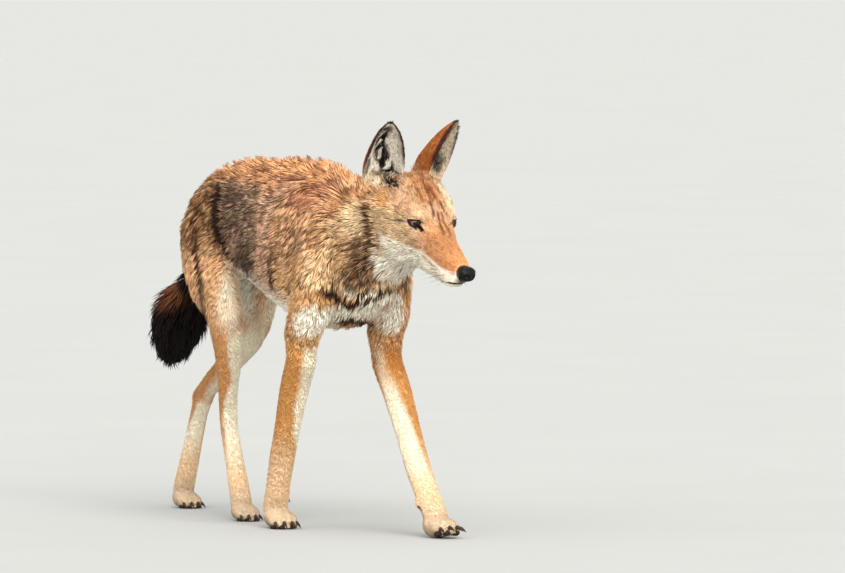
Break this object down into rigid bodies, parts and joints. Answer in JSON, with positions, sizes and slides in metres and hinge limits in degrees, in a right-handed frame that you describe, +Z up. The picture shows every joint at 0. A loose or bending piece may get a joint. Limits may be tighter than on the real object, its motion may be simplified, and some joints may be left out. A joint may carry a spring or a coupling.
{
  "type": "ethiopian wolf",
  "caption": "Life-size walking Ethiopian wolf: slender long muzzle, tall cupped ears, rufous back, white throat and legs, black bushy tail.",
  "frame": {"origin": "on the floor under the middle of the animal's box", "axes": "+Z up, wolf faces -Y, its left is +X"},
  "size_m": [0.2114, 1.0284, 0.6792],
  "materials": {
    "body_fur": "matt, coarse rufous guard hair",
    "neck_fur": "matt, grizzled brown and cream hair",
    "head_fur": "matt, short tawny hair",
    "pale_fur": "matt, short white hair",
    "ear_fur": "matt, rufous behind with white hair inside",
    "leg_fur": "matt, short tan hair, white in front",
    "paw_fur": "matt, short cream hair; claws dark horn",
    "brush_fur": "matt, long black hair",
    "nose_leather": "moist, fine grained",
    "eye_glass": "polished, brown with a dark pupil"
  },
  "bodies": {
    "root": {"trunk": "body_fur", "neck": "neck_fur", "head": "head_fur", "lower_jaw": "pale_fur", "ear_left": "ear_fur", "ear_right": "ear_fur", "tail": "brush_fur", "foreleg_left": "leg_fur", "forepaw_left": "paw_fur", "foreleg_right": "leg_fur", "forepaw_right": "paw_fur", "thigh_left": "body_fur", "hindleg_left": "leg_fur", "hindpaw_left": "paw_fur", "thigh_right": "body_fur", "hindleg_right": "leg_fur", "hindpaw_right": "paw_fur", "nose_pad": "nose_leather", "eye_left": "eye_glass", "eye_right": "eye_glass"}
  },
  "joints": []
}
